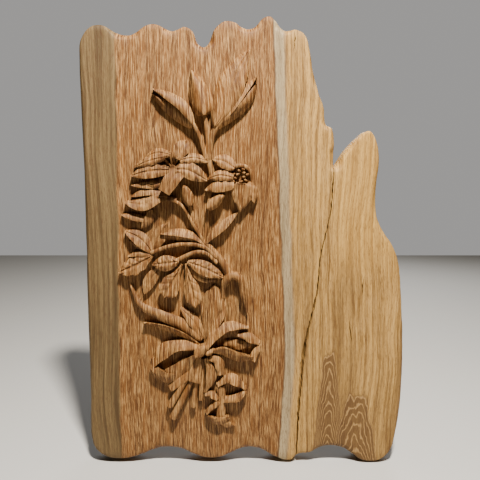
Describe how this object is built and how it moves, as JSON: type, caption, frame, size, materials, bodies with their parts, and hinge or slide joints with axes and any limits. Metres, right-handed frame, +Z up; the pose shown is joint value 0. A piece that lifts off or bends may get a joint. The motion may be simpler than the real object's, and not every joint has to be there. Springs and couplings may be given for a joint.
{
  "type": "carved wall panel",
  "caption": "Live-edged teak slab with a bouquet of lilies, leaves and a tied ribbon carved in relief, hung flat against a wall.",
  "frame": {"origin": "on the flat back face, which rests against the wall, at mid-height and near the middle of the width", "axes": "+Z up, +X to the right of a person facing the carving, -Y out of the wall towards that person"},
  "size_m": [0.4462, 0.0541, 0.617],
  "materials": {
    "teak": "unvarnished teak, brushed ground, smooth tool-finished carving, waxed"
  },
  "bodies": {
    "root": {"carved_panel": "teak"}
  },
  "joints": []
}
